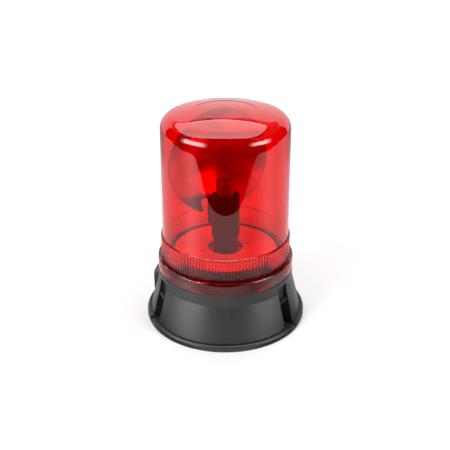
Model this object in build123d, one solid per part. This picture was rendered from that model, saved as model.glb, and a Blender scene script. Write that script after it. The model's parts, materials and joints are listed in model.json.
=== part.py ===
from build123d import *
from math import acos, atan2, cos, degrees, pi, radians, sin, sqrt, tan
import os

# Rotating warning beacon: a clear red dome on a flared black base. Inside it a
# motor and two pairs of gears turn a parabolic reflector round a fixed lamp.
# Millimetres. Z is up, the origin is the centre of the base's underside, and
# -Y is the front. Angles are in degrees from +X round the beacon's axis.

# Base housing
FLANGE_R = 75.0
FLANGE_H = 5.6
BEAD_R = 72.9
BEAD_GROOVE = 1.2
SKIRT_FOOT_R = 71.4
SKIRT_TOP_R = 63.0
CONE_TOP_Z = 39.0
SKIRT_WALL = 3.0
SHOULDER_Z = 48.6
SPIGOT_R = 59.2
SPIGOT_TOP_Z = 59.5
UPSTAND_R = 52.0
UPSTAND_TOP_Z = 66.4
CHAMBER_R = 47.0
FLOOR_Z = 49.0
FLOOR_T = 3.0

# Bolt pockets
POCKET_ANGLES = (-150.0, -30.0, 90.0)
BOLT_R = 65.0
BOLT_HOLE_R = 3.25
POCKET_W = 14.0
POCKET_WALL = 1.8
POCKET_BACK_R = 57.5
POCKET_UPPER_R = 59.8
POCKET_LOW_Z = 3.2
POCKET_HIGH_Z = 44.5
POCKET_RIB_Z = 27.5
POCKET_RIB_T = 2.0
POCKET_RIB_INSET = 1.5

# Cable entry, on a flat pad
ENTRY_ANGLE = 173.0
ENTRY_Z = 30.0
ENTRY_HOLE_R = 6.0
PAD_R = 67.3
PAD_INNER_R = 61.0
PAD_W = 24.0
PAD_LOW_Z = 16.5
PAD_HIGH_Z = 38.5
CABLE_R = 3.5
GROMMET_LIP_R = 7.5
GROMMET_LIP_T = 0.8

# Underside
GASKET_OUTER_R = 74.0
GASKET_INNER_R = 69.6
GASKET_T = 1.4
COVER_R = 67.8
COVER_LOW_Z = 2.0
COVER_T = 2.0
COVER_SCREW_R = 60.0
COVER_SCREW_ANGLES = (30.0, 150.0, 270.0)
PILLAR_R = 4.0

# Lens and its seal
LENS_RING_R = 62.6
LENS_RING_BORE_R = 59.6
LENS_LOW_Z = 50.0
LENS_RING_TOP_Z = 61.5
LENS_LEDGE_Z = 59.9
BAND_R = 59.4
BAND_BORE_R = 57.0
BAND_TOP_Z = 82.5
DOME_LOW_R = 58.0
DOME_HIGH_R = 56.6
LENS_TOP_Z = 199.5
CROWN_R = 225.0
CORNER_R = 13.5
LENS_WALL = 2.5
SEAL_T = 1.1

# Deck
DECK_R = 47.8
DECK_SEAT_R = 48.2
DECK_T = 2.5
DECK_TOP_Z = 66.0
DECK_HOLE_R = 16.0
DECK_RIM_W = 2.0
DECK_RIM_H = 0.8
LIFT_HOLE_R = 1.9
LIFT_HOLE_CIRCLE = 22.0
LIFT_HOLE_ANGLES = (26.0, 206.0)

# Lamp post and lamp
POST_R = 8.5
POST_BORE_R = 6.3
POST_FOOT_R = 14.8
POST_FOOT_TOP_Z = 52.2
POST_TOP_Z = 113.5
POST_SCREW_CIRCLE = 11.8
POST_SCREW_ANGLES = (0.0, 120.0, 240.0)
FOCUS_Z = 145.0
LAMP_SEAT_Z = 116.0
SOCKET_R = 8.5
SOCKET_WALL = 0.9
SOCKET_TOP_Z = 132.0
BAYONET_Z = 126.0
BAYONET_PIN_R = 0.9
BAYONET_TURN = 15.0
BAYONET_SLOT_HALF_W = 1.1
CAP_R = 7.5
BULB_LOW_Z = 134.0
BULB_TOP_Z = 163.0
BULB_R = 8.2
BULB_WALL = 0.8
FILAMENT_HALF = 2.5

# Rotor: carrier, bushes and reflector
CARRIER_LOW_R = 11.5
CARRIER_HIGH_R = 12.9
CARRIER_BORE_R = 9.2
CARRIER_LOW_Z = 57.4
CARRIER_STEP_Z = 80.0
CARRIER_TOP_Z = 119.0
BUSH_R = 10.2
BUSH_LENGTH = 8.0
UPPER_BUSH_Z = 103.0
RUNNING_GAP = 0.05
AXIAL_GAP = 0.3
REFLECTOR_HEADING = 300.0
RIM_R = 47.8
RIM_AHEAD = -13.4
RIM_LIP = 1.0
REFLECTOR_T = 1.5
SLOT_HALF_W = 16.3
SLOT_TOP_Z = 109.0
TONGUE_HALF_W = 8.5
TONGUE_LOW_Z = 82.0
TONGUE_T = 1.2
TONGUE_CORNER_R = 4.0
BOSS_HALF_W = 6.5
BOSS_LOW_Z = 81.0
BOSS_TOP_Z = 107.0
RIVET_Z = 95.0
RIVET_R = 1.5
RIVET_REACH = 8.0
RIVET_HEAD_R = 2.8
RIVET_HEAD_T = 1.0

# Gear train
MODULE = 0.8
DRIVEN_TEETH = 70
IDLER_PINION_TEETH = 14
IDLER_WHEEL_TEETH = 30
MOTOR_PINION_TEETH = 12
PRESSURE_ANGLE = 20.0
ADDENDUM = 0.8
DEDENDUM = 1.25
BACKLASH = 0.22
CENTRE_EXTRA = 0.08
FLANK_STEPS = 4
GEAR_HUB_R = 15.5
GEAR_HUB_TOP_Z = 63.0
LOW_GEAR_Z = 53.4
LOW_GEAR_T = 4.0
WHEEL_Z = 58.6
WHEEL_T = 3.2
IDLER_ANGLE = 60.0
IDLER_AXLE_R = 1.5
MOTOR_CIRCLE = 38.0

# Motor and terminals
MOTOR_R = 14.0
MOTOR_LOW_Z = 14.0
MOTOR_CAP_T = 3.0
MOTOR_BOSS_R = 3.0
MOTOR_SHAFT_R = 1.15
MOTOR_SCREW_OFFSET = 8.0
TERMINAL_CIRCLE = 30.0
TERMINAL_ANGLE = 230.0
TERMINAL_SIZE = (20.0, 12.0, 10.0)
TERMINAL_PITCH = 9.0
LEAD_R = 0.9


def at(radius, angle, z=0.0):
    """The move to a point at a radius and an angle round the beacon's axis."""
    return Pos(radius * cos(radians(angle)), radius * sin(radians(angle)), z)


def turned(shape, angle):
    """The shape turned round the beacon's axis."""
    return Rot(0, 0, angle) * shape


def rod(radius, low, high):
    """An upright cylinder between two heights."""
    return Pos(0, 0, low) * Cylinder(radius, high - low, align=(Align.CENTER, Align.CENTER, Align.MIN))


def ring(outer, inner, low, high):
    """An upright ring between two heights."""
    return rod(outer, low, high) - rod(inner, low, high)


def block(x0, x1, y0, y1, z0, z1):
    """A box given by its limits."""
    return Pos((x0 + x1) / 2, (y0 + y1) / 2, (z0 + z1) / 2) * Box(x1 - x0, y1 - y0, z1 - z0)


def turn(points):
    """A closed outline of radius and height, turned into a solid."""
    return revolve(Plane.XZ * make_face(Polyline(*points, close=True)), Axis.Z)


def group(shapes):
    """Separate solids that share one node."""
    return Compound(children=[shape.solid() for shape in shapes])


def idler_axis():
    """The radius and the angle of the idler's axis."""
    return MODULE * (DRIVEN_TEETH + IDLER_PINION_TEETH) / 2 + CENTRE_EXTRA, IDLER_ANGLE


def motor_axis():
    """The radius and the angle of the motor's axis, in reach of the idler's wheel."""
    idler = idler_axis()[0]
    reach = MODULE * (IDLER_WHEEL_TEETH + MOTOR_PINION_TEETH) / 2 + CENTRE_EXTRA
    cosine = (idler ** 2 + MOTOR_CIRCLE ** 2 - reach ** 2) / (2 * idler * MOTOR_CIRCLE)
    return MOTOR_CIRCLE, IDLER_ANGLE + degrees(acos(cosine))


def motor_to_idler_angle():
    """The direction from the motor's axis to the idler's."""
    start = at(*motor_axis()).position
    end = at(*idler_axis()).position
    return degrees(atan2(end.Y - start.Y, end.X - start.X))


def motor_screw_places():
    """Where the two motor screws go, either side of the motor's shaft."""
    radius, angle = motor_axis()
    return [at(radius, angle) * Rot(0, 0, angle) * Pos(0, side * MOTOR_SCREW_OFFSET, 0) for side in (-1, 1)]


# Base housing

def skirt_radius(z):
    """The outer radius of the skirt's cone at a height."""
    return SKIRT_FOOT_R + (SKIRT_TOP_R - SKIRT_FOOT_R) * (z - FLANGE_H) / (CONE_TOP_Z - FLANGE_H)


def housing_outside():
    """Flange with its bead, flared skirt, spigot and upstand, as one solid round."""
    return turn([
        (0, 0),
        (FLANGE_R, 0),
        (FLANGE_R, FLANGE_H - 1.6),
        (FLANGE_R - 0.5, FLANGE_H - 0.5),
        (FLANGE_R - 1.3, FLANGE_H),
        (BEAD_R, FLANGE_H),
        (BEAD_R - 0.4, FLANGE_H - BEAD_GROOVE),
        (SKIRT_FOOT_R, FLANGE_H - BEAD_GROOVE),
        (SKIRT_FOOT_R, FLANGE_H),
        (SKIRT_TOP_R, CONE_TOP_Z),
        (SKIRT_TOP_R - 0.3, SHOULDER_Z),
        (SPIGOT_R, SHOULDER_Z),
        (SPIGOT_R, SPIGOT_TOP_Z - 0.8),
        (SPIGOT_R - 0.8, SPIGOT_TOP_Z),
        (UPSTAND_R, SPIGOT_TOP_Z),
        (UPSTAND_R, UPSTAND_TOP_Z),
        (0, UPSTAND_TOP_Z),
    ])


def housing_hollow():
    """The space under the floor."""
    low_r = SKIRT_FOOT_R - SKIRT_WALL
    top_r = SKIRT_TOP_R - SKIRT_WALL
    roof_z = FLOOR_Z - FLOOR_T
    return turn([(0, -1), (low_r, -1), (low_r, FLANGE_H), (top_r, CONE_TOP_Z), (top_r, roof_z), (0, roof_z)])


def pocket_lining():
    """The walls that close a bolt pocket off from the inside, on the +X side."""
    half = POCKET_W / 2 + POCKET_WALL
    lining = block(POCKET_BACK_R - POCKET_WALL, SKIRT_FOOT_R, -half, half, 0, FLOOR_Z - 1)
    return lining & turn([(0, 0), (SKIRT_FOOT_R, 0), (SKIRT_FOOT_R, FLANGE_H), (SKIRT_TOP_R, CONE_TOP_Z),
                          (SKIRT_TOP_R - 0.3, SHOULDER_Z), (0, SHOULDER_Z)])


def pocket_space():
    """What a bolt pocket and its hole take out of the skirt, on the +X side."""
    half = POCKET_W / 2
    outside = FLANGE_R + 1
    rib_top = POCKET_RIB_Z + POCKET_RIB_T
    lower = block(POCKET_BACK_R, outside, -half, half, POCKET_LOW_Z, POCKET_RIB_Z)
    upper = block(POCKET_UPPER_R, outside, -half, half, rib_top, POCKET_HIGH_Z)
    inset = block(skirt_radius(POCKET_RIB_Z) - POCKET_RIB_INSET, outside, -half, half, POCKET_RIB_Z, rib_top)
    return lower + upper + inset + Pos(BOLT_R, 0, 0) * rod(BOLT_HOLE_R, -1, POCKET_LOW_Z + 1)


def entry_pad():
    """The flat pad that the cable entry goes through, on the +X side."""
    pad = block(PAD_INNER_R, PAD_R, -PAD_W / 2, PAD_W / 2, PAD_LOW_Z, PAD_HIGH_Z)
    return fillet(pad.edges().filter_by(Axis.X), 4.0)


def base_housing():
    """Flange, skirt, floor and gear chamber, moulded in one."""
    body = housing_outside() - housing_hollow()
    body -= rod(CHAMBER_R, FLOOR_Z, UPSTAND_TOP_Z + 1)
    body -= rod(DECK_SEAT_R, DECK_TOP_Z - DECK_T, UPSTAND_TOP_Z + 1)
    for angle in POCKET_ANGLES:
        body += turned(pocket_lining(), angle)
    for angle in COVER_SCREW_ANGLES:
        pillar = at(COVER_SCREW_R, angle) * rod(PILLAR_R, COVER_LOW_Z + COVER_T, FLOOR_Z - 1)
        body += pillar & housing_outside()
        body -= at(COVER_SCREW_R, angle) * rod(1.25, 0, 17)
    body += turned(entry_pad(), ENTRY_ANGLE)
    for angle in POCKET_ANGLES:
        body -= turned(pocket_space(), angle)
    body -= turned(Pos(PAD_R, 0, ENTRY_Z) * Rot(0, 90, 0) * Cylinder(ENTRY_HOLE_R, 20), ENTRY_ANGLE)
    body -= ring(GASKET_OUTER_R, GASKET_INNER_R, -1, GASKET_T)
    body -= rod(POST_BORE_R, 40, 60)
    for angle in POST_SCREW_ANGLES:
        body -= at(POST_SCREW_CIRCLE, angle) * rod(1.3, 40, 60)
    body -= at(*motor_axis()) * rod(MOTOR_BOSS_R + 0.1, 40, 60)
    for move in motor_screw_places():
        body -= move * rod(1.3, 40, 60)
    body += at(*idler_axis()) * rod(3.5, FLOOR_Z - 0.5, LOW_GEAR_Z - AXIAL_GAP)
    body -= at(*idler_axis()) * rod(IDLER_AXLE_R, 40, 60)
    return body


def base_gasket():
    """The rubber ring pressed flush into the underside of the flange."""
    gasket = ring(GASKET_OUTER_R - 0.1, GASKET_INNER_R + 0.1, 0, GASKET_T)
    return gasket


def bottom_cover():
    """The plate that closes the underside, notched round the bolt pockets."""
    plate = rod(COVER_R, COVER_LOW_Z, COVER_LOW_Z + COVER_T)
    half = POCKET_W / 2 + POCKET_WALL + 0.4
    for angle in POCKET_ANGLES:
        plate -= turned(block(POCKET_BACK_R - POCKET_WALL - 0.4, COVER_R + 1, -half, half, 0, 10), angle)
    for angle in COVER_SCREW_ANGLES:
        plate -= at(COVER_SCREW_R, angle) * rod(1.7, 0, 10)
    return plate


def cover_screws():
    """Three pan-head screws that hold the bottom cover."""
    screw = rod(3.0, COVER_LOW_Z - 1.6, COVER_LOW_Z) + rod(1.25, COVER_LOW_Z, 16)
    return group([at(COVER_SCREW_R, angle) * screw for angle in COVER_SCREW_ANGLES])


def cable_grommet():
    """A rubber bush in the cable entry."""
    neck = Cylinder(ENTRY_HOLE_R - 0.05, PAD_R - PAD_INNER_R, align=(Align.CENTER, Align.CENTER, Align.MAX))
    lip = Cylinder(GROMMET_LIP_R, GROMMET_LIP_T, align=(Align.CENTER, Align.CENTER, Align.MIN))
    bush = neck + lip - Cylinder(CABLE_R, 30)
    return turned(Pos(PAD_R, 0, ENTRY_Z) * Rot(0, 90, 0) * bush, ENTRY_ANGLE)


# Lens, seal and deck

def dome_outline(inset):
    """One surface of the dome from its foot to its top, set in from the outside."""
    crown_r = CROWN_R - inset
    corner_r = CORNER_R - inset
    crown_z = LENS_TOP_Z - CROWN_R
    corner_x = DOME_HIGH_R - CORNER_R
    rise = sqrt((CROWN_R - CORNER_R) ** 2 - corner_x ** 2)
    corner_z = crown_z + rise
    meet = atan2(rise, corner_x)
    half = meet / 2
    corner_mid = (corner_x + corner_r * cos(half), corner_z + corner_r * sin(half))
    corner_end = (corner_r * cos(meet) + corner_x, corner_z + corner_r * sin(meet))
    crown = (meet + pi / 2) / 2
    crown_mid = (crown_r * cos(crown), crown_z + crown_r * sin(crown))
    start = (DOME_HIGH_R - inset, corner_z)
    return [
        Line((DOME_LOW_R - inset, BAND_TOP_Z), start),
        ThreePointArc(start, corner_mid, corner_end),
        ThreePointArc(corner_end, crown_mid, (0, LENS_TOP_Z - inset)),
    ]


def lens_dome():
    """The red dome with its ribbed band and plain mounting ring."""
    outside = Polyline(
        (DOME_LOW_R, BAND_TOP_Z),
        (BAND_R - 0.4, BAND_TOP_Z),
        (BAND_R, BAND_TOP_Z - 0.6),
        (BAND_R, LENS_RING_TOP_Z),
        (LENS_RING_R - 0.5, LENS_RING_TOP_Z),
        (LENS_RING_R, LENS_RING_TOP_Z - 0.5),
        (LENS_RING_R, LENS_LOW_Z),
        (LENS_RING_BORE_R, LENS_LOW_Z),
        (LENS_RING_BORE_R, LENS_LEDGE_Z),
        (BAND_BORE_R, LENS_LEDGE_Z),
        (BAND_BORE_R, BAND_TOP_Z - LENS_WALL),
        (DOME_LOW_R - LENS_WALL, BAND_TOP_Z),
    )
    top = Line((0, LENS_TOP_Z - LENS_WALL), (0, LENS_TOP_Z))
    outline = Curve() + [outside, top] + dome_outline(0) + dome_outline(LENS_WALL)
    return revolve(Plane.XZ * make_face(outline), Axis.Z)


def lens_seal():
    """The flat rubber ring that the lens stands on."""
    return ring(LENS_RING_R - 0.2, SPIGOT_R + 0.1, SHOULDER_Z, SHOULDER_Z + SEAL_T)


def deck_plate():
    """The pale disc over the gears, with two lifting holes."""
    low = DECK_TOP_Z - DECK_T
    plate = rod(DECK_R, low, DECK_TOP_Z)
    plate += rod(DECK_HOLE_R + DECK_RIM_W, low, DECK_TOP_Z + DECK_RIM_H)
    plate -= rod(DECK_HOLE_R, low - 1, DECK_TOP_Z + 2)
    for angle in LIFT_HOLE_ANGLES:
        plate -= at(LIFT_HOLE_CIRCLE, angle) * rod(LIFT_HOLE_R, low - 1, DECK_TOP_Z + 1)
    return plate


# Lamp post and lamp

def lamp_post():
    """The fixed tube that carries the lamp, with its screwed foot."""
    post = rod(POST_FOOT_R, FLOOR_Z, POST_FOOT_TOP_Z) + rod(POST_R, FLOOR_Z, POST_TOP_Z)
    post -= rod(POST_BORE_R, FLOOR_Z, POST_TOP_Z)
    for angle in POST_SCREW_ANGLES:
        post -= at(POST_SCREW_CIRCLE, angle) * rod(1.5, FLOOR_Z, POST_FOOT_TOP_Z)
        post -= at(POST_SCREW_CIRCLE, angle) * rod(2.7, FLOOR_Z + 1.4, POST_FOOT_TOP_Z)
    return post


def post_screws():
    """Three screws sunk in the foot of the lamp post."""
    screw = rod(2.6, FLOOR_Z + 1.4, FLOOR_Z + 3.0) + rod(1.3, FLOOR_Z - 4, FLOOR_Z + 1.4)
    return group([at(POST_SCREW_CIRCLE, angle) * screw for angle in POST_SCREW_ANGLES])


def thrust_washer():
    """The washer that the rotor runs on."""
    return ring(13.5, POST_R + 0.1, POST_FOOT_TOP_Z, LOW_GEAR_Z - AXIAL_GAP)


def post_circlip():
    """The ring on the post that keeps the rotor down."""
    low = UPPER_BUSH_Z + BUSH_LENGTH + AXIAL_GAP
    return ring(POST_R + 1.2, POST_R, low, low + 1.0)


def lamp_holder():
    """The insulating plug in the top of the post."""
    return rod(POST_BORE_R - 0.05, POST_TOP_Z - 13, POST_TOP_Z) + rod(POST_R - 0.1, POST_TOP_Z, LAMP_SEAT_Z)


def lamp_contacts():
    """Two brass tails under the lamp holder."""
    low = POST_TOP_Z - 21
    high = POST_TOP_Z - 13
    return group([block(side * 2.5 - 0.4, side * 2.5 + 0.4, -2, 2, low, high) for side in (-1, 1)])


def lamp_socket():
    """The plated bayonet tube that stands on the lamp holder."""
    tube = ring(SOCKET_R, SOCKET_R - SOCKET_WALL, LAMP_SEAT_Z, SOCKET_TOP_Z)
    half = BAYONET_SLOT_HALF_W
    upright = block(-half, half, -SOCKET_R, SOCKET_R, BAYONET_Z, SOCKET_TOP_Z + 1)
    turn_in = block(-half, 3 * half, 0, SOCKET_R, BAYONET_Z - half, BAYONET_Z + half)
    return tube - upright - turn_in - turned(turn_in, 180)


def bulb_base():
    """The bayonet cap of the halogen lamp, with its two pins."""
    cap = rod(CAP_R, LAMP_SEAT_Z, BULB_LOW_Z)
    pin = rod(BAYONET_PIN_R, CAP_R - 1, SOCKET_R + 0.5)
    pins = Rot(-90, 0, 0) * pin + Rot(90, 0, 0) * pin
    return cap + Pos(0, 0, BAYONET_Z) * turned(pins, -BAYONET_TURN)


def bulb_glass():
    """The glass of the halogen lamp, round at its top."""
    outside = rod(BULB_R, BULB_LOW_Z, BULB_TOP_Z - BULB_R) + Pos(0, 0, BULB_TOP_Z - BULB_R) * Sphere(BULB_R)
    inner_r = BULB_R - BULB_WALL
    inside = rod(inner_r, BULB_LOW_Z, BULB_TOP_Z - BULB_R) + Pos(0, 0, BULB_TOP_Z - BULB_R) * Sphere(inner_r)
    return outside - inside


def bulb_filament():
    """The coil at the reflector's focus, on its two stiff leads."""
    coil = rod(0.9, FOCUS_Z - FILAMENT_HALF, FOCUS_Z + FILAMENT_HALF)
    low_lead = rod(0.3, BULB_LOW_Z, FOCUS_Z - FILAMENT_HALF)
    top = FOCUS_Z + FILAMENT_HALF + 2
    high_lead = rod(0.3, FOCUS_Z + FILAMENT_HALF, top)
    bridge = block(-0.3, 3.0, -0.3, 0.3, top - 0.6, top)
    side_lead = Pos(2.7, 0, 0) * rod(0.3, BULB_LOW_Z, top)
    return coil + low_lead + high_lead + bridge + side_lead


def lead(points, radius):
    """One round wire along a route with rounded corners."""
    route = FilletPolyline(*points, radius=radius)
    return sweep(Plane(route @ 0, z_dir=route % 0) * Circle(LEAD_R), path=route)


def terminal_face(side):
    """Where a lead meets the terminal block, on its side towards the post."""
    return at(TERMINAL_CIRCLE, TERMINAL_ANGLE) * Rot(0, 0, TERMINAL_ANGLE) * Pos(
        -TERMINAL_SIZE[1] / 2, side * TERMINAL_PITCH / 2, FLOOR_Z - FLOOR_T - TERMINAL_SIZE[2] / 2)


def lamp_leads():
    """Two wires from the lamp holder down the post to the terminal block."""
    wires = []
    for side in (-1, 1):
        end = terminal_face(side).position
        top = POST_TOP_Z - 21
        points = [(side * 2.5, 0, top), (side * 2.5, 0, end.Z + 1.5 * side), (end.X, end.Y, end.Z + 1.5 * side)]
        wires.append(lead(points, 6.0))
    return group(wires)


# Motor, idler and terminals

def motor_body():
    """The can of the motor, hung under the floor, with the boss of its bearing."""
    roof_z = FLOOR_Z - FLOOR_T
    can = fillet(rod(MOTOR_R, MOTOR_LOW_Z, roof_z).edges().filter_by(GeomType.CIRCLE), 1.0)
    can += rod(MOTOR_BOSS_R, roof_z - 1, FLOOR_Z)
    can -= rod(MOTOR_SHAFT_R + RUNNING_GAP, MOTOR_LOW_Z + 4, FLOOR_Z + 1)
    radius, angle = motor_axis()
    can = at(radius, angle) * can
    for move in motor_screw_places():
        can -= move * rod(1.2, roof_z - 4, roof_z + 1)
    return can


def motor_end_cap():
    """The plastic end of the motor."""
    return at(*motor_axis()) * rod(MOTOR_R - 1.2, MOTOR_LOW_Z - MOTOR_CAP_T, MOTOR_LOW_Z)


def motor_screws():
    """Two screws that hold the motor to the floor."""
    screw = rod(2.3, FLOOR_Z, FLOOR_Z + 1.5) + rod(1.15, FLOOR_Z - FLOOR_T - 3.5, FLOOR_Z)
    return group([move * screw for move in motor_screw_places()])


def motor_shaft():
    """The motor's output shaft."""
    return at(*motor_axis()) * rod(MOTOR_SHAFT_R, MOTOR_LOW_Z + 5, WHEEL_Z + WHEEL_T + 0.8)


def idler_axle():
    """The steel pin that the idler turns on."""
    return at(*idler_axis()) * rod(IDLER_AXLE_R, FLOOR_Z - FLOOR_T, WHEEL_Z + WHEEL_T + 1.3)


def idler_clip():
    """The clip that keeps the idler on its pin."""
    low = WHEEL_Z + WHEEL_T + AXIAL_GAP
    return at(*idler_axis()) * ring(3.2, IDLER_AXLE_R, low, low + 0.7)


def terminal_place():
    """The move to the centre of the terminal block's top."""
    return at(TERMINAL_CIRCLE, TERMINAL_ANGLE, FLOOR_Z - FLOOR_T) * Rot(0, 0, TERMINAL_ANGLE)


def terminal_block():
    """The supply terminals under the floor, open downwards at their screws."""
    length, depth, height = TERMINAL_SIZE
    body = block(-depth / 2, depth / 2, -length / 2, length / 2, -height, 0)
    for side in (-1, 1):
        body -= Pos(0, side * TERMINAL_PITCH / 2, 0) * rod(2.4, -height - 1, -height + 4)
    return terminal_place() * body


def terminal_screws():
    """The two clamping screws of the terminals."""
    height = TERMINAL_SIZE[2]
    screw = rod(2.2, -height + 1, -height + 4) - block(-0.4, 0.4, -3, 3, -height, -height + 2)
    return group([terminal_place() * Pos(0, side * TERMINAL_PITCH / 2, 0) * screw for side in (-1, 1)])


# Rotor

def reflector_carrier():
    """The sleeve that turns on the post and holds the reflector."""
    sleeve = turn([
        (CARRIER_BORE_R, CARRIER_LOW_Z),
        (CARRIER_LOW_R, CARRIER_LOW_Z),
        (CARRIER_LOW_R, CARRIER_STEP_Z - 1.4),
        (CARRIER_HIGH_R, CARRIER_STEP_Z),
        (CARRIER_HIGH_R, CARRIER_TOP_Z - 0.5),
        (CARRIER_HIGH_R - 0.5, CARRIER_TOP_Z),
        (CARRIER_BORE_R, CARRIER_TOP_Z),
    ])
    boss = block(-tongue_back(), -BUSH_R - 1, -BOSS_HALF_W, BOSS_HALF_W, BOSS_LOW_Z, BOSS_TOP_Z)
    sleeve += boss
    sleeve -= rod(BUSH_R, CARRIER_LOW_Z, CARRIER_LOW_Z + BUSH_LENGTH)
    sleeve -= rod(BUSH_R, UPPER_BUSH_Z, CARRIER_TOP_Z)
    sleeve -= Pos(-tongue_back(), 0, RIVET_Z) * Rot(0, 90, 0) * Cylinder(RIVET_R, 2 * RIVET_REACH)
    return turned(sleeve, REFLECTOR_HEADING)


def bush(low):
    """A plain bearing bush between the post and the carrier."""
    return ring(BUSH_R, POST_R + RUNNING_GAP, low, low + BUSH_LENGTH)


def lower_bush():
    """The bush at the foot of the carrier."""
    return bush(CARRIER_LOW_Z)


def upper_bush():
    """The bush near the top of the carrier."""
    return bush(UPPER_BUSH_Z)


def focal_length():
    """The parabola's focal length, which puts its rim where it is wanted."""
    return (sqrt(RIM_AHEAD ** 2 + RIM_R ** 2) - RIM_AHEAD) / 2


def tongue_back():
    """How far behind the axis the tongue stands, which is where the slot's top meets the dish."""
    return focal_length() - (FOCUS_Z - SLOT_TOP_Z) ** 2 / (4 * focal_length())


def dish():
    """The parabolic shell, facing +X with its focus at the origin."""
    focal = focal_length()
    inner = [(r ** 2 / (4 * focal) - focal, r) for r in (0, RIM_R / 3, 2 * RIM_R / 3, RIM_R)]
    outer = [(x - REFLECTOR_T, r) for x, r in inner]
    slope = RIM_R / (2 * focal)
    front = Spline(*inner, tangents=[(0, 1), (slope, 1)])
    back = Spline(*outer, tangents=[(0, 1), (slope, 1)])
    lip = Polyline(inner[-1], (RIM_AHEAD, RIM_R + RIM_LIP), (RIM_AHEAD - REFLECTOR_T, RIM_R + RIM_LIP), outer[-1])
    axis = Line(inner[0], outer[0])
    return revolve(Plane.XZ * make_face(Curve() + [front, lip, back, axis]), Axis.X)


def reflector():
    """The metallised dish, slotted round the carrier, with its fixing tongue."""
    shell = Pos(0, 0, FOCUS_Z) * dish()
    shell -= block(-60, 60, -SLOT_HALF_W, SLOT_HALF_W, 0, SLOT_TOP_Z)
    tongue = block(-tongue_back() - TONGUE_T, -tongue_back(), -TONGUE_HALF_W, TONGUE_HALF_W,
                   TONGUE_LOW_Z, SLOT_TOP_Z + 0.8)
    shell += fillet(tongue.edges().filter_by(Axis.X).group_by(Axis.Z)[0], TONGUE_CORNER_R)
    shell -= Pos(-tongue_back(), 0, RIVET_Z) * Rot(0, 90, 0) * Cylinder(RIVET_R, 6)
    return turned(shell, REFLECTOR_HEADING)


def reflector_rivet():
    """The rivet through the tongue, into the carrier's boss."""
    shank = Cylinder(RIVET_R - 0.02, RIVET_REACH, align=(Align.CENTER, Align.CENTER, Align.MIN))
    head = Cylinder(RIVET_HEAD_R, RIVET_HEAD_T, align=(Align.CENTER, Align.CENTER, Align.MAX))
    head = fillet(head.edges().group_by(Axis.Z)[0], 0.6)
    rivet = Pos(-tongue_back() - TONGUE_T, 0, RIVET_Z) * Rot(0, 90, 0) * (shank + head)
    return turned(rivet, REFLECTOR_HEADING)


# Gears

def involute_point(base_r, radius, half_angle):
    """A point of a tooth's flank; half_angle is the tooth's half width at the base circle."""
    turn_back = sqrt(max((radius / base_r) ** 2 - 1, 0))
    angle = half_angle - (turn_back - atan2(turn_back, 1))
    return radius, angle


def gear(teeth, low, thickness, bore):
    """A spur gear with involute teeth; one tooth points along +X."""
    pitch_r = MODULE * teeth / 2
    base_r = pitch_r * cos(radians(PRESSURE_ANGLE))
    tip_r = pitch_r + ADDENDUM * MODULE
    root_r = pitch_r - DEDENDUM * MODULE
    involute = tan(radians(PRESSURE_ANGLE)) - radians(PRESSURE_ANGLE)
    half_angle = pi / (2 * teeth) - BACKLASH / 2 / (2 * pitch_r) + involute
    start_r = max(base_r, root_r)
    flank = [(root_r, half_angle)] if root_r < base_r else []
    for step in range(FLANK_STEPS + 1):
        radius = start_r + (tip_r - start_r) * step / FLANK_STEPS
        flank.append(involute_point(base_r, radius, half_angle))
    points = []
    for tooth in range(teeth):
        centre = 2 * pi * tooth / teeth
        for radius, angle in flank:
            points.append((radius * cos(centre - angle), radius * sin(centre - angle)))
        for radius, angle in reversed(flank):
            points.append((radius * cos(centre + angle), radius * sin(centre + angle)))
    blank = extrude(make_face(Polyline(*points, close=True)), thickness)
    return Pos(0, 0, low) * blank - rod(bore, low, low + thickness)


def gap_towards(teeth, angle):
    """The turn that brings a gap between two teeth to an angle."""
    return angle + 180 / teeth


def driven_gear():
    """The large gear under the deck; a tooth points at the idler."""
    wheel = turned(gear(DRIVEN_TEETH, LOW_GEAR_Z, LOW_GEAR_T, CARRIER_BORE_R), IDLER_ANGLE)
    return wheel + ring(GEAR_HUB_R, CARRIER_LOW_R, LOW_GEAR_Z + LOW_GEAR_T, GEAR_HUB_TOP_Z)


def idler_gear():
    """The two-step gear between the motor and the large gear."""
    bore = IDLER_AXLE_R + RUNNING_GAP
    pinion = gear(IDLER_PINION_TEETH, LOW_GEAR_Z, WHEEL_Z - LOW_GEAR_Z, bore)
    wheel = gear(IDLER_WHEEL_TEETH, WHEEL_Z, WHEEL_T, bore)
    pinion = turned(pinion, gap_towards(IDLER_PINION_TEETH, IDLER_ANGLE + 180))
    wheel = turned(wheel, motor_to_idler_angle() + 180)
    return at(*idler_axis()) * (pinion + wheel)


def motor_pinion():
    """The small gear on the motor's shaft."""
    pinion = gear(MOTOR_PINION_TEETH, WHEEL_Z - 0.3, WHEEL_T + 0.6, MOTOR_SHAFT_R)
    return at(*motor_axis()) * turned(pinion, gap_towards(MOTOR_PINION_TEETH, motor_to_idler_angle()))


PARTS = [
    base_housing, base_gasket, bottom_cover, cover_screws, cable_grommet, deck_plate, lens_seal, lens_dome,
    lamp_post, post_screws, thrust_washer, post_circlip, lamp_holder, lamp_contacts, lamp_leads, lamp_socket,
    bulb_base, bulb_glass, bulb_filament, motor_body, motor_end_cap, motor_screws, motor_shaft, motor_pinion,
    terminal_block, terminal_screws, idler_axle, idler_clip, idler_gear, driven_gear, reflector_carrier,
    lower_bush, upper_bush, reflector, reflector_rivet,
]

os.makedirs("parts", exist_ok=True)
for make in PARTS:
    export_step(make(), f"parts/{make.__name__}.step")
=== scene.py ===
import json
import math

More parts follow.
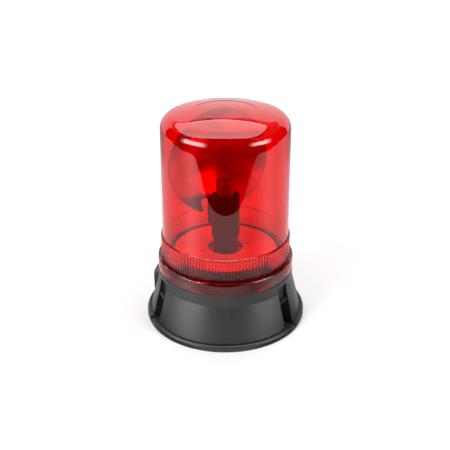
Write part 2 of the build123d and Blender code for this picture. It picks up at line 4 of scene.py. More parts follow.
import bmesh
import bpy
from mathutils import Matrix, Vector


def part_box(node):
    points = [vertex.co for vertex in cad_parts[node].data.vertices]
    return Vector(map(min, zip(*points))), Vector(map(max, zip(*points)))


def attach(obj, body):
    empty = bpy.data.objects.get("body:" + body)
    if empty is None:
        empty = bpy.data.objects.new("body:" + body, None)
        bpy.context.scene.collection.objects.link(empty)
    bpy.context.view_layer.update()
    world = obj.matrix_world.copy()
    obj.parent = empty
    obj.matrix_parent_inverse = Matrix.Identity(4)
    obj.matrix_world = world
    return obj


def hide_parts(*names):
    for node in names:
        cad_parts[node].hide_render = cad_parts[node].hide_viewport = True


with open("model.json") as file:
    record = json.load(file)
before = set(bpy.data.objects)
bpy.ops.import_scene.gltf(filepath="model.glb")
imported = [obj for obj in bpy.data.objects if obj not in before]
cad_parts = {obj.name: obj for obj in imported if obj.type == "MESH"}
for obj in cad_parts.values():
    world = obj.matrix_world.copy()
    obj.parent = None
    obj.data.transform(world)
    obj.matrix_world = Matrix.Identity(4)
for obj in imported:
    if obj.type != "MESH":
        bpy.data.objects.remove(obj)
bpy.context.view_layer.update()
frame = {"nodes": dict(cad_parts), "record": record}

MM = 0.001

# Camera: where it stands round the beacon's axis, in degrees and metres, and its focal length in mm
CAMERA_AZIMUTH = 5.0
CAMERA_ELEVATION = 25.98
CAMERA_DISTANCE = 0.644
CAMERA_AIM_Z = 0.0881
CAMERA_LENS = 56.0
CAMERA_SHIFT_X = -0.0011

# The lens: sizes that its box doesn't give
BAND_R = 59.4 * MM
BAND_TOP_Z = 82.5 * MM
DOME_LOW_R = 58.0 * MM
DOME_HIGH_R = 56.6 * MM
RING_TOP_Z = 61.5 * MM
RING_BORE_R = 59.6 * MM
LEDGE_Z = 59.9 * MM
BAND_BORE_R = 57.0 * MM
CROWN_R = 225.0 * MM
CORNER_R = 13.5 * MM
LENS_WALL = 2.5 * MM
LENS_EDGE = 0.35 * MM
RIBS = 128
RIB_POINTS = 8 * RIBS
RIB_DEPTH = 0.72 * MM
DOME_SEGMENTS = 256
CROWN_DISC_R = 27.0 * MM
CROWN_DISC_H = 0.25 * MM
GATE_R = 1.6 * MM
SHOULDER_STEPS = 14
CROWN_STEPS = 13


# Shader helpers

def material(name):
    """A new material with its node tree and its Principled shader."""
    made = bpy.data.materials.new(name)
    made.use_nodes = True
    return made, made.node_tree, made.node_tree.nodes["Principled BSDF"]


def node(tree, kind, inputs=None, **settings):
    """A new shader node with its settings and plain input values."""
    made = tree.nodes.new(kind)
    for key, value in settings.items():
        setattr(made, key, value)
    for key, value in (inputs or {}).items():
        made.inputs[key].default_value = value
    return made


def noise(tree, scale, detail=4.0, roughness=0.55, stretch=(1, 1, 1)):
    """Noise over the object's own coordinates, with a scale per metre."""
    place = node(tree, "ShaderNodeTexCoord")
    mapping = node(tree, "ShaderNodeMapping", {"Scale": stretch})
    texture = node(tree, "ShaderNodeTexNoise", {"Scale": scale, "Detail": detail, "Roughness": roughness})
    tree.links.new(place.outputs["Object"], mapping.inputs["Vector"])
    tree.links.new(mapping.outputs["Vector"], texture.inputs["Vector"])
    return texture.outputs["Fac"]


def between(tree, factor, low, high, start=0.3, end=0.7):
    """A number or a colour that runs from low to high as the factor goes from start to end."""
    if isinstance(low, tuple):
        ramp = node(tree, "ShaderNodeValToRGB")
        ramp.color_ramp.elements[0].position = start
        ramp.color_ramp.elements[1].position = end
        ramp.color_ramp.elements[0].color = (*low, 1)
        ramp.color_ramp.elements[1].color = (*high, 1)
        tree.links.new(factor, ramp.inputs["Fac"])
        return ramp.outputs["Color"]
    limits = {"From Min": start, "From Max": end, "To Min": low, "To Max": high}
    spread = node(tree, "ShaderNodeMapRange", limits)
    tree.links.new(factor, spread.inputs["Value"])
    return spread.outputs["Result"]


def bump(tree, shader, height, strength, distance, under=None):
    """Bump from a height, on the shader's normal; under is a bevel to add it to."""
    made = node(tree, "ShaderNodeBump", {"Strength": strength, "Distance": distance})
    tree.links.new(height, made.inputs["Height"])
    if under is not None:
        tree.links.new(under, made.inputs["Normal"])
    tree.links.new(made.outputs["Normal"], shader.inputs["Normal"])


def rounded_edges(tree, radius):
    """The soft edge radius that a moulding has."""
    return node(tree, "ShaderNodeBevel", {"Radius": radius}, samples=4).outputs["Normal"]


def moulded(name, dark, light, roughness, grain, grain_height, edge=0.0, specular=0.5):
    """Moulded plastic: faint drifts of colour, a fine eroded grain and uneven gloss."""
    made, tree, shader = material(name)
    drift = noise(tree, 35.0, 3.0)
    fine = noise(tree, grain, 3.0, 0.6)
    tree.links.new(between(tree, drift, dark, light), shader.inputs["Base Color"])
    patches = noise(tree, 120.0, 5.0, 0.65)
    tree.links.new(between(tree, patches, *roughness), shader.inputs["Roughness"])
    shader.inputs["Specular IOR Level"].default_value = specular
    under = rounded_edges(tree, edge) if edge else None
    bump(tree, shader, fine, 0.35, grain_height, under)
    return made


def metal(name, dark, light, roughness, scale, stretch, height=2e-5):
    """Metal with drawn or turned marks along the way it is stretched."""
    made, tree, shader = material(name)
    marks = noise(tree, scale, 6.0, 0.7, stretch)
    stains = noise(tree, 60.0, 4.0)
    tree.links.new(between(tree, stains, dark, light), shader.inputs["Base Color"])
    tree.links.new(between(tree, marks, *roughness), shader.inputs["Roughness"])
    shader.inputs["Metallic"].default_value = 1.0
    bump(tree, shader, marks, 0.2, height)
    return made


# Materials

def black_plastic():
    """The base's black ABS, satin, a little grey where it has been handled."""
    return moulded("black_abs", (0.0105, 0.0105, 0.0101), (0.016, 0.0156, 0.0149), (0.36, 0.5),
                   2600.0, 4e-5, edge=0.45 * MM)


def pale_plastic():
    """The deck's off-white plastic."""
    return moulded("pale_deck", (0.74, 0.73, 0.71), (0.82, 0.81, 0.79), (0.3, 0.42), 1800.0, 2e-5,
                   edge=0.3 * MM)


def grey_plastic():
    """The post's and the carrier's dark grey nylon."""
    return moulded("grey_nylon", (0.034, 0.034, 0.036), (0.046, 0.045, 0.048), (0.38, 0.52), 2200.0, 3e-5,
                   edge=0.3 * MM, specular=0.35)


def white_plastic():
    """Natural nylon, as the gears are made of."""
    return moulded("white_nylon", (0.70, 0.69, 0.63), (0.80, 0.79, 0.74), (0.35, 0.5), 1500.0, 2e-5)


def rubber():
    """Matt black rubber with a dusty bloom."""
    return moulded("rubber", (0.012, 0.012, 0.012), (0.03, 0.03, 0.03), (0.65, 0.85), 1400.0, 5e-5)


def terminal_plastic():
    """The terminal block's cream polyamide."""
    return moulded("terminal_plastic", (0.60, 0.57, 0.47), (0.70, 0.67, 0.56), (0.4, 0.55), 1800.0, 3e-5)


def wire_plastic():
    """The red insulation of the leads."""
    return moulded("lead_insulation", (0.30, 0.012, 0.010), (0.38, 0.02, 0.015), (0.3, 0.42), 900.0, 2e-5)


def ceramic():
    """The lamp holder's unglazed steatite."""
    return moulded("ceramic", (0.72, 0.69, 0.62), (0.80, 0.77, 0.70), (0.55, 0.75), 2500.0, 5e-5)


def plated_steel():
    """Zinc plated steel."""
    return metal("steel", (0.50, 0.50, 0.50), (0.62, 0.62, 0.63), (0.22, 0.4), 900.0, (1, 1, 0.15))


def brass():
    """Machined brass and bronze."""
    return metal("brass", (0.62, 0.44, 0.18), (0.78, 0.58, 0.27), (0.2, 0.38), 1100.0, (1, 1, 0.12))


def tungsten():
    """The filament's dull wire."""
    return metal("tungsten", (0.20, 0.20, 0.20), (0.32, 0.31, 0.30), (0.35, 0.5), 6000.0, (1, 1, 8))


def reflector_metal():
    """Vacuum metallised plastic: bright, with a faint waviness and some haze."""
    made, tree, shader = material("reflector_metal")
    haze = noise(tree, 55.0, 5.0, 0.6)
    wave = noise(tree, 45.0, 2.0, 0.4)
    tree.links.new(between(tree, haze, (0.80, 0.80, 0.81), (0.90, 0.90, 0.91)), shader.inputs["Base Color"])
    tree.links.new(between(tree, haze, 0.2, 0.28), shader.inputs["Roughness"])
    shader.inputs["Metallic"].default_value = 1.0
    bump(tree, shader, wave, 0.25, 2e-4)
    return made


def see_through(made, tree, shader, tint):
    """Lets the light of lamps and of lit surfaces straight through clear plastic or glass, tinted."""
    path = node(tree, "ShaderNodeLightPath")
    either = node(tree, "ShaderNodeMath", operation="MAXIMUM")
    clear = node(tree, "ShaderNodeBsdfTransparent", {"Color": (*tint, 1)})
    mix = node(tree, "ShaderNodeMixShader")
    tree.links.new(path.outputs["Is Shadow Ray"], either.inputs[0])
    tree.links.new(path.outputs["Is Diffuse Ray"], either.inputs[1])
    tree.links.new(either.outputs[0], mix.inputs[0])
    tree.links.new(shader.outputs["BSDF"], mix.inputs[1])
    tree.links.new(clear.outputs["BSDF"], mix.inputs[2])
    tree.links.new(mix.outputs["Shader"], tree.nodes["Material Output"].inputs["Surface"])
    return made


def red_lens():
    """Red polycarbonate, polished, with the slight waviness of a moulding."""
    made, tree, shader = material("red_lens")
    wave = noise(tree, 28.0, 2.0, 0.4)
    smear = noise(tree, 70.0, 5.0, 0.6)
    red = between(tree, smear, (0.84, 0.004, 0.009), (0.88, 0.007, 0.013))
    tree.links.new(red, shader.inputs["Base Color"])
    tree.links.new(between(tree, smear, 0.008, 0.03), shader.inputs["Roughness"])
    shader.inputs["Transmission Weight"].default_value = 1.0
    shader.inputs["IOR"].default_value = 1.5
    bump(tree, shader, wave, 0.12, 1.5e-4)
    return see_through(made, tree, shader, (0.95, 0.08, 0.10))


def lamp_glass():
    """Clear glass with drawn lines, bending light less than real glass so that it stays faint."""
    made, tree, shader = material("lamp_glass")
    lines = noise(tree, 500.0, 3.0, 0.5, (1, 1, 0.1))
    tree.links.new(between(tree, lines, 0.01, 0.05), shader.inputs["Roughness"])
    clear = between(tree, lines, (0.93, 0.93, 0.94), (0.97, 0.97, 0.97))
    tree.links.new(clear, shader.inputs["Base Color"])
    shader.inputs["Transmission Weight"].default_value = 1.0
    shader.inputs["IOR"].default_value = 1.07
    bump(tree, shader, lines, 0.1, 5e-5)
    return see_through(made, tree, shader, (0.96, 0.96, 0.96))


MAKERS = {
    "black_abs": black_plastic,
    "pale_deck": pale_plastic,
    "grey_nylon": grey_plastic,
    "white_nylon": white_plastic,
    "rubber": rubber,
    "terminal_plastic": terminal_plastic,
    "lead_insulation": wire_plastic,
    "ceramic": ceramic,
    "steel": plated_steel,
    "brass": brass,
    "tungsten": tungsten,
    "reflector_metal": reflector_metal,
    "red_lens": red_lens,
    "lamp_glass": lamp_glass,
}
MATERIALS = {slot: make() for slot, make in MAKERS.items()}


def dress_frame():
    """Gives every CAD node the material of its slot."""
    for part in frame["record"]["subparts"]:
        target = frame["nodes"][part["node"]]
        target.data.materials.clear()
        target.data.materials.append(MATERIALS[part["material_slot"]])


# Meshes of revolution

def add_row(bm, count, radius, z):
    """A row of points round the axis; radius is a length or a function of the angle."""
    row = []
    for index in range(count):
        angle = 2 * math.pi * index / count
        length = radius(angle) if callable(radius) else radius
        row.append(bm.verts.new((length * math.cos(angle), length * math.sin(angle), z)))
    return row


def join_rows(bm, one, two):
    """Faces between two rows, where one may have a whole number of times the other's points."""
    if len(one) < len(two):
        one, two = two, one
    times = len(one) // len(two)
    for index, corner in enumerate(two):
        far = two[(index + 1) % len(two)]
        fine = [one[(index * times + step) % len(one)] for step in range(times + 1)]
        if times == 1:
            bm.faces.new((corner, far, fine[1], fine[0]))
            continue
        middle = times // 2
        for step in range(middle):
            bm.faces.new((corner, fine[step + 1], fine[step]))
        bm.faces.new((corner, far, fine[middle]))
        for step in range(middle, times):
            bm.faces.new((far, fine[step + 1], fine[step]))


def close_row(bm, row, z):
    """Closes a row with a point on the axis."""
    tip = bm.verts.new((0, 0, z))
    for index, corner in enumerate(row):
        bm.faces.new((corner, row[(index + 1) % len(row)], tip))


def add_object(name, data):
    """A new object in the scene with its mesh, lamp or camera data."""
    made = bpy.data.objects.new(name, data)
    bpy.context.collection.objects.link(made)
    return made


def finish_mesh(bm, name, slot_name, sharp=30.0):
    """Turns a bmesh into a smooth piece with its material."""
    bmesh.ops.recalc_face_normals(bm, faces=bm.faces)
    mesh = bpy.data.meshes.new(name)
    bm.to_mesh(mesh)
    bm.free()
    mesh.shade_smooth()
    mesh.set_sharp_from_angle(angle=math.radians(sharp))
    made = add_object(name, mesh)
    made.data.materials.append(MATERIALS[slot_name])
    return made


# The lens

def crown_rows(top_z, inset):
    """Radius and height of the dome's rounded shoulder and crown, from its wall to near its centre."""
    centre_z = top_z - CROWN_R
    corner_x = DOME_HIGH_R - CORNER_R
    rise = math.sqrt((CROWN_R - CORNER_R) ** 2 - corner_x ** 2)
    meet = math.atan2(rise, corner_x)
    rows = []
    for step in range(SHOULDER_STEPS + 1):
        angle = meet * step / SHOULDER_STEPS
        radius = CORNER_R - inset
        rows.append((corner_x + radius * math.cos(angle), centre_z + rise + radius * math.sin(angle)))
    for step in range(1, CROWN_STEPS):
        angle = meet + (math.pi / 2 - meet) * step / CROWN_STEPS
        radius = CROWN_R - inset
        rows.append((radius * math.cos(angle), centre_z + radius * math.sin(angle)))
    return rows


def rib_radius(angle):
    """The ribbed band's outside: ribs of a round section with sharp valleys."""
    half = math.pi * BAND_R / RIBS
    arc = (half ** 2 + RIB_DEPTH ** 2) / (2 * RIB_DEPTH)
    across = (angle * RIBS / (2 * math.pi) % 1 - 0.5) * 2 * half
    return BAND_R - arc + math.sqrt(arc ** 2 - across ** 2)


def crown_field_rows(top_z):
    """Radius and height of the crown's shallow round field, and of the gate mark in its middle."""
    edge = 0.3 * CROWN_DISC_H
    steps = [(CROWN_DISC_R + edge, 0), (CROWN_DISC_R, edge), (CROWN_DISC_R - edge, CROWN_DISC_H)]
    steps += [(CROWN_DISC_R * share, CROWN_DISC_H) for share in (0.8, 0.6, 0.4, 0.2)]
    steps += [(GATE_R, CROWN_DISC_H), (GATE_R * 0.8, 0)]
    centre_z = top_z - CROWN_R
    return [(radius, centre_z - sunk + math.sqrt(CROWN_R ** 2 - radius ** 2)) for radius, sunk in steps]


def lens_outside(bm, ring_r, low_z, top_z):
    """The lens's outer rows, from its foot to the crown."""
    rows = [
        add_row(bm, RIB_POINTS, RING_BORE_R + LENS_EDGE, low_z),
        add_row(bm, RIB_POINTS, ring_r - LENS_EDGE, low_z),
        add_row(bm, RIB_POINTS, ring_r, low_z + LENS_EDGE),
        add_row(bm, RIB_POINTS, ring_r, RING_TOP_Z - 2 * LENS_EDGE),
        add_row(bm, RIB_POINTS, ring_r - 0.6 * LENS_EDGE, RING_TOP_Z - 0.6 * LENS_EDGE),
        add_row(bm, RIB_POINTS, ring_r - 2 * LENS_EDGE, RING_TOP_Z),
        add_row(bm, RIB_POINTS, rib_radius, RING_TOP_Z),
        add_row(bm, RIB_POINTS, rib_radius, BAND_TOP_Z - LENS_EDGE),
        add_row(bm, RIB_POINTS, lambda angle: rib_radius(angle) - LENS_EDGE, BAND_TOP_Z),
        add_row(bm, DOME_SEGMENTS, DOME_LOW_R + LENS_EDGE, BAND_TOP_Z),
        add_row(bm, DOME_SEGMENTS, DOME_LOW_R, BAND_TOP_Z + LENS_EDGE),
    ]
    crown = [(radius, z) for radius, z in crown_rows(top_z, 0) if radius > CROWN_DISC_R + CROWN_DISC_H]
    return rows + [add_row(bm, DOME_SEGMENTS, radius, z) for radius, z in crown + crown_field_rows(top_z)]


def lens_inside(bm, low_z, top_z):
    """The lens's inner rows: the ring's bore, the ledge that sits on the seal, the band and the dome."""
    rows = [
        add_row(bm, RIB_POINTS, RING_BORE_R, low_z + LENS_EDGE),
        add_row(bm, RIB_POINTS, RING_BORE_R, LEDGE_Z),
        add_row(bm, RIB_POINTS, BAND_BORE_R, LEDGE_Z),
        add_row(bm, RIB_POINTS, BAND_BORE_R, BAND_TOP_Z - LENS_WALL),
        add_row(bm, DOME_SEGMENTS, DOME_LOW_R - LENS_WALL, BAND_TOP_Z),
    ]
    return rows + [add_row(bm, DOME_SEGMENTS, radius, z) for radius, z in crown_rows(top_z, LENS_WALL)]


def build_lens():
    """The red dome: plain ring, ribbed band, wall, shoulder and crown, with its inside."""
    low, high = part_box("lens_dome")
    bm = bmesh.new()
    outer = lens_outside(bm, (high.x - low.x) / 2, low.z, high.z)
    inner = lens_inside(bm, low.z, high.z)
    for rows in (outer, inner):
        for one, two in zip(rows, rows[1:]):
            join_rows(bm, one, two)
    join_rows(bm, outer[0], inner[0])
    close_row(bm, outer[-1], high.z)
    close_row(bm, inner[-1], high.z - LENS_WALL)
    lens = finish_mesh(bm, "lens", "red_lens")
    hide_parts("lens_dome")
    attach(lens, "lens")


# Stage: floor, what the beacon mirrors, lights and camera

# Azimuth 0 is straight behind the beacon as the camera sees it, and positive is to the right.
# Each patch of the studio: azimuth from and to, elevation from and to, tilt, strength, softness each way
SKY = (
    (-55, 48, -40, 31, 0.0, 1.0, 5, 4),
    (-110, 100, 31, 90, 0.0, 0.12, 10, 12),
    (-139, -110, -2, 15, 0.1, 13.0, 13, 8),
    (107, 130, -3, 11, 0.0, 12.0, 13, 7),
)
# The same as the reflector sees it through the lens
INNER = (
    (-180, 180, -60, 90, 0.0, 0.36, 1, 1),
    (-110, 100, -45, 90, 0.0, 1.1, 16, 5),
    (98, 134, 3, 50, 0.0, 2.2, 12, 9),
    (-173, -112, 6, 60, 0.0, 1.5, 8, 12),
    (-180, 180, 26, 90, 0.0, 0.9, 1, 16),
)
# The table as the reflector sees it: the elevation of its patches, and its glow close to the beacon
INNER_TABLE_ELEVATION = -20
INNER_NEAR = 0.9
INNER_NEAR_REACH = (0, 0.2, 0.1)
# A ray that has gone through more faces than this has come out of the lens again
LENS_FACES = 3.0
# The least that a ray sees once it has been inside the lens's wall
WALL_SHINE = 0.22
SKY_R = 4.0
SKY_LOW = -50.0

# The overhead light: the corners of its outline, across and back, and its middle
OVERHEAD = ((-0.83, -0.81), (-1.45, -0.62), (-1.70, -0.25), (-1.69, 0.35), (-1.20, 1.32), (-0.42, 1.94),
            (0.37, 1.82), (0.90, 0.45), (1.11, -0.20), (1.00, -0.65), (0.76, -0.80))
OVERHEAD_MIDDLE = (-0.2, 0.5)
OVERHEAD_Z = 1.4
OVERHEAD_SHINE = 1.9
OVERHEAD_INNER = 0.8
# How much brighter it gets towards the camera, how late, and how much brighter its rim is
OVERHEAD_RISE = 1.5
OVERHEAD_RISE_POWER = 1.5
OVERHEAD_RIM = 0.45
OVERHEAD_RIM_FROM = 0.95
OVERHEAD_RINGS = (0.0, 0.3, 0.6, 0.8, 0.92, 0.96, 1.0)

# The table: the bends of its right half's outline, across and back from the middle of its front
TABLE_EDGE = ((0.0, -0.352), (0.17, -0.353), (0.38, -0.39), (0.52, -0.33), (0.61, -0.08), (0.62, 0.14),
              (0.70, 0.42), (1.0, 1.2), (0.5, 2.4))
TABLE_EDGE_STEPS = 8
TABLE_RINGS = 16
TABLE_HOLE = 0.2
TABLE_Z = 0.0005
# Its brightness all round, and where it is brighter or darker: azimuth, spread and difference
TABLE_SHINE = 0.85
TABLE_CHANGES = ((-124, 15, 1.15), (108, 14, 0.55), (140, 16, -0.4), (180, 40, 0.25))
# Its brightness behind the beacon, and the azimuths and distances of that part: from, to and softness
TABLE_REAR_SHINE = 0.5
TABLE_REAR_AZIMUTHS = (-50, 50, 30)
TABLE_REAR_DISTANCES = (0.5, math.inf, 0.12)

FLOOR_R = 1.3
FLOOR_SIDES = 96
FLOOR_FADE = (0.45, 0.95)
WORLD_FILL = 0.5
WORLD_SEEN = 1.15
# The lamps: azimuth, elevation, width and height, and power
LAMPS = {
    "rear_box": (0.0, 58.0, (1.6, 1.6), 16.0),
    "left_box": (-129.0, 30.0, (0.7, 0.8), 18.0),
    "right_box": (115.0, 30.0, (0.6, 0.8), 14.0),
}
LAMP_DISTANCE = 1.5
LAMP_AIM_Z = 0.12


def mirrored(tree, path):
    """One for a ray that has been mirrored, nothing for one that came straight or through the lens."""
    once = node(tree, "ShaderNodeMath", {1: 1.0}, operation="MINIMUM")
    tree.links.new(path.outputs["Glossy Depth"], once.inputs[0])
    return once.outputs[0]


def glow(name):
    """Light for mirrored rays alone: one strength for the outside, one for what the reflector sees.

    A ray that has been inside the lens's wall sees a little light wherever the studio is dark.
    """
    made = bpy.data.materials.new(name)
    made.use_nodes = True
    made.cycles.emission_sampling = "NONE"
    tree = made.node_tree
    tree.nodes.clear()
    path = node(tree, "ShaderNodeLightPath")
    deep = node(tree, "ShaderNodeMath", {1: LENS_FACES}, operation="GREATER_THAN")
    wall = node(tree, "ShaderNodeMapRange", {"To Max": WALL_SHINE})
    outer = node(tree, "ShaderNodeAttribute", attribute_name="shine")
    inner = node(tree, "ShaderNodeAttribute", attribute_name="inner")
    strength = node(tree, "ShaderNodeMapRange")
    lit = node(tree, "ShaderNodeMath", operation="MAXIMUM")
    light = node(tree, "ShaderNodeEmission")
    clear = node(tree, "ShaderNodeBsdfTransparent")
    mix = node(tree, "ShaderNodeMixShader")
    out = node(tree, "ShaderNodeOutputMaterial")
    tree.links.new(path.outputs["Transmission Depth"], deep.inputs[0])
    tree.links.new(path.outputs["Transmission Depth"], wall.inputs["Value"])
    tree.links.new(deep.outputs[0], strength.inputs["Value"])
    tree.links.new(outer.outputs["Fac"], strength.inputs["To Min"])
    tree.links.new(inner.outputs["Fac"], strength.inputs["To Max"])
    tree.links.new(strength.outputs["Result"], lit.inputs[0])
    tree.links.new(wall.outputs["Result"], lit.inputs[1])
    tree.links.new(lit.outputs[0], light.inputs["Strength"])
    tree.links.new(mirrored(tree, path), mix.inputs[0])
    tree.links.new(clear.outputs["BSDF"], mix.inputs[1])
    tree.links.new(light.outputs["Emission"], mix.inputs[2])
    tree.links.new(mix.outputs["Shader"], out.inputs["Surface"])
    return made


def mirrored_card(name, points, faces, shine, inner):
    """A stage object that shows in reflections alone."""
    mesh = bpy.data.meshes.new(name)
    mesh.from_pydata(points, [], faces)
    mesh.attributes.new("shine", "FLOAT", "POINT").data.foreach_set("value", shine)
    mesh.attributes.new("inner", "FLOAT", "POINT").data.foreach_set("value", inner)
    mesh.materials.append(glow(name))
    card = add_object(name, mesh)
    card.visible_camera = False
    card.visible_diffuse = False
    card.visible_shadow = False
    card.visible_volume_scatter = False


def grid_faces(across, up):
    """Faces of a grid whose rows hold across + 1 points."""
    corners = [row * (across + 1) + column for row in range(up) for column in range(across)]
    return [(corner, corner + 1, corner + across + 2, corner + across + 1) for corner in corners]


def within(value, low, high, softness):
    """One between low and high, falling to nothing over the softness outside them."""
    edge = min(value - low, high - value)
    return min(1.0, max(0.0, 1 + edge / softness)) ** 2


def patch_shine(patches, azimuth, elevation):
    """How bright the studio is in a direction."""
    shine = 0.0
    for left, right, low, high, tilt, strength, soft_sides, soft_ends in patches:
        lift = tilt * (azimuth - (left + right) / 2)
        share = within(azimuth, left, right, soft_sides) * within(elevation - lift, low, high, soft_ends)
        shine = max(shine, strength * share)
    return shine


def table_shine(azimuth):
    """How bright the table is in a direction."""
    shine = TABLE_SHINE
    for centre, spread, difference in TABLE_CHANGES:
        away = (azimuth - centre + 180) % 360 - 180
        shine += difference * math.exp(-(away / spread) ** 2)
    return shine


def heading(azimuth):
    """The level direction of an azimuth."""
    angle = math.radians(azimuth - CAMERA_AZIMUTH)
    return Vector((math.sin(angle), math.cos(angle), 0))


def mirrored_sky(across=360, up=140):
    """The studio round the beacon, for reflections."""
    points, shine, inner = [], [], []
    for row in range(up + 1):
        elevation = SKY_LOW + (90 - SKY_LOW) * row / up
        rise = math.radians(elevation)
        height = Vector((0, 0, SKY_R * math.sin(rise)))
        for column in range(across + 1):
            azimuth = -180 + 360 * column / across
            points.append(heading(azimuth) * SKY_R * math.cos(rise) + height)
            shine.append(patch_shine(SKY, azimuth, elevation))
            inner.append(patch_shine(INNER, azimuth, elevation))
    mirrored_card("studio_sky", points, grid_faces(across, up), shine, inner)


def flat_card(name, outline, middle, rings, z, lights):
    """A level card inside an outline; lights gives its two strengths at a place and a ring."""
    points, shine, inner = [], [], []
    for ring in rings:
        for across, back in outline:
            x, y = middle[0] + (across - middle[0]) * ring, middle[1] + (back - middle[1]) * ring
            points.append(heading(90) * x + heading(0) * y + Vector((0, 0, z)))
            outer_light, inner_light = lights(x, y, ring)
            shine.append(outer_light)
            inner.append(inner_light)
    mirrored_card(name, points, grid_faces(len(outline) - 1, len(rings) - 1), shine, inner)


def curve_point(a, b, c, d, t):
    """A share t of the way from b to c, on the curve that goes smoothly through a, b, c and d."""
    bend = a - 2.5 * b + 2 * c - d / 2
    twist = 1.5 * (b - c) + (d - a) / 2
    return b + t * ((c - a) / 2 + t * (bend + t * twist))


def smooth_outline(bends, steps):
    """A closed curve through an outline's bends."""
    points = []
    for index in range(len(bends)):
        around = [bends[(index + step) % len(bends)] for step in (-1, 0, 1, 2)]
        for step in range(steps):
            points.append([curve_point(*axis, step / steps) for axis in zip(*around)])
    return points + points[:1]


def mirrored_table():
    """The table round the beacon, for reflections."""
    def lights(x, y, _ring):
        azimuth = math.degrees(math.atan2(x, y))
        distance = math.hypot(x, y)
        rear = within(azimuth, *TABLE_REAR_AZIMUTHS) * within(distance, *TABLE_REAR_DISTANCES)
        shine = table_shine(azimuth)
        near = INNER_NEAR * within(distance, *INNER_NEAR_REACH)
        inner = max(patch_shine(INNER, azimuth, INNER_TABLE_ELEVATION), near)
        return shine + (TABLE_REAR_SHINE - shine) * rear, inner
    left = [(-across, back) for across, back in reversed(TABLE_EDGE[1:])]
    outline = smooth_outline(list(TABLE_EDGE) + left, TABLE_EDGE_STEPS)
    rings = [TABLE_HOLE + (1 - TABLE_HOLE) * step / TABLE_RINGS for step in range(TABLE_RINGS + 1)]
    flat_card("table_glow", outline, (0, 0), rings, TABLE_Z, lights)


def mirrored_box():
    """The soft light overhead, brighter towards the camera and along its edges."""
    near = min(back for _, back in OVERHEAD)
    far = max(back for _, back in OVERHEAD)

    def lights(_x, y, ring):
        closeness = min(1.0, max(0.0, (far - y) / (far - near)))
        rise = 1 + OVERHEAD_RISE * closeness ** OVERHEAD_RISE_POWER
        rim = 1 + OVERHEAD_RIM * (ring > OVERHEAD_RIM_FROM)
        return OVERHEAD_SHINE * rise * rim, OVERHEAD_INNER
    flat_card("overhead_box", OVERHEAD + OVERHEAD[:1], OVERHEAD_MIDDLE, OVERHEAD_RINGS, OVERHEAD_Z, lights)


def round_floor():
    """The pale floor, which fades into the white behind it."""
    made, tree, shader = material("studio_floor")
    shader.inputs["Base Color"].default_value = (0.80, 0.80, 0.80, 1)
    shader.inputs["Roughness"].default_value = 0.9
    shader.inputs["Specular IOR Level"].default_value = 0.0
    place = node(tree, "ShaderNodeTexCoord")
    away = node(tree, "ShaderNodeVectorMath", operation="LENGTH")
    path = node(tree, "ShaderNodeLightPath")
    gone = node(tree, "ShaderNodeMath", operation="MAXIMUM")
    clear = node(tree, "ShaderNodeBsdfTransparent")
    mix = node(tree, "ShaderNodeMixShader")
    tree.links.new(place.outputs["Object"], away.inputs[0])
    tree.links.new(between(tree, away.outputs["Value"], 0.0, 1.0, *FLOOR_FADE), gone.inputs[0])
    tree.links.new(mirrored(tree, path), gone.inputs[1])
    tree.links.new(gone.outputs[0], mix.inputs[0])
    tree.links.new(shader.outputs["BSDF"], mix.inputs[1])
    tree.links.new(clear.outputs["BSDF"], mix.inputs[2])
    tree.links.new(mix.outputs["Shader"], tree.nodes["Material Output"].inputs["Surface"])
    angles = [2 * math.pi * side / FLOOR_SIDES for side in range(FLOOR_SIDES)]
    points = [(FLOOR_R * math.cos(angle), FLOOR_R * math.sin(angle), 0) for angle in angles]
    mesh = bpy.data.meshes.new("floor")
    mesh.from_pydata(points, [], [tuple(range(FLOOR_SIDES))])
    mesh.materials.append(made)
    floor = add_object("floor", mesh)
    floor.visible_glossy = False


def look_from(thing, back, distance, aim_z):
    """Puts a lamp or the camera at a distance from a point on the beacon's axis, looking at it."""
    thing.location = Vector((0, 0, aim_z)) + back * distance
    thing.rotation_euler = back.to_track_quat("Z", "Y").to_euler()


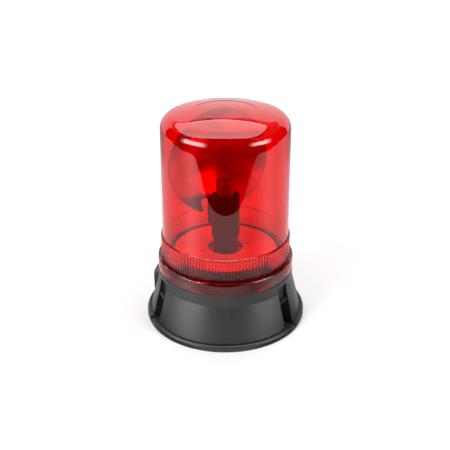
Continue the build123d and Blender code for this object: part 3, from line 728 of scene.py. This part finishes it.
def softbox(name, azimuth, elevation, size, power):
    """A rectangular light that looks at the beacon, and that nothing mirrors."""
    light = bpy.data.lights.new(name, "AREA")
    light.shape = "RECTANGLE"
    light.size, light.size_y = size
    light.energy = power
    lamp = add_object(name, light)
    rise = math.radians(elevation)
    back = heading(azimuth) * math.cos(rise) + Vector((0, 0, math.sin(rise)))
    look_from(lamp, back, LAMP_DISTANCE, LAMP_AIM_Z)
    lamp.visible_glossy = False
    lamp.visible_camera = False


def studio_world():
    """White behind the beacon, and a soft fill from everywhere."""
    world = bpy.data.worlds.new("studio")
    world.use_nodes = True
    tree = world.node_tree
    background = tree.nodes["Background"]
    path = node(tree, "ShaderNodeLightPath")
    seen = node(tree, "ShaderNodeMath", operation="MAXIMUM")
    spread = node(tree, "ShaderNodeMapRange", {"To Min": WORLD_FILL, "To Max": WORLD_SEEN})
    tree.links.new(path.outputs["Is Camera Ray"], seen.inputs[0])
    tree.links.new(path.outputs["Is Transmission Ray"], seen.inputs[1])
    tree.links.new(seen.outputs[0], spread.inputs["Value"])
    tree.links.new(spread.outputs["Result"], background.inputs["Strength"])
    background.inputs["Color"].default_value = (1, 1, 1, 1)
    bpy.context.scene.world = world


def light_stage():
    """Lights, reflection cards and world."""
    studio_world()
    round_floor()
    mirrored_sky()
    mirrored_table()
    mirrored_box()
    for name, (azimuth, elevation, size, power) in LAMPS.items():
        softbox(name, azimuth, elevation, size, power)
    bpy.context.scene.view_settings.view_transform = "Standard"


def place_camera():
    """The camera, aimed at the beacon's axis."""
    data = bpy.data.cameras.new("camera")
    data.lens = CAMERA_LENS
    data.shift_x = CAMERA_SHIFT_X
    data.clip_start = 0.01
    camera = add_object("camera", data)
    angle, rise = math.radians(CAMERA_AZIMUTH), math.radians(CAMERA_ELEVATION)
    back = Vector((math.sin(angle) * math.cos(rise), -math.cos(angle) * math.cos(rise), math.sin(rise)))
    look_from(camera, back, CAMERA_DISTANCE, CAMERA_AIM_Z)
    bpy.context.scene.camera = camera


place_camera()
dress_frame()
build_lens()
light_stage()
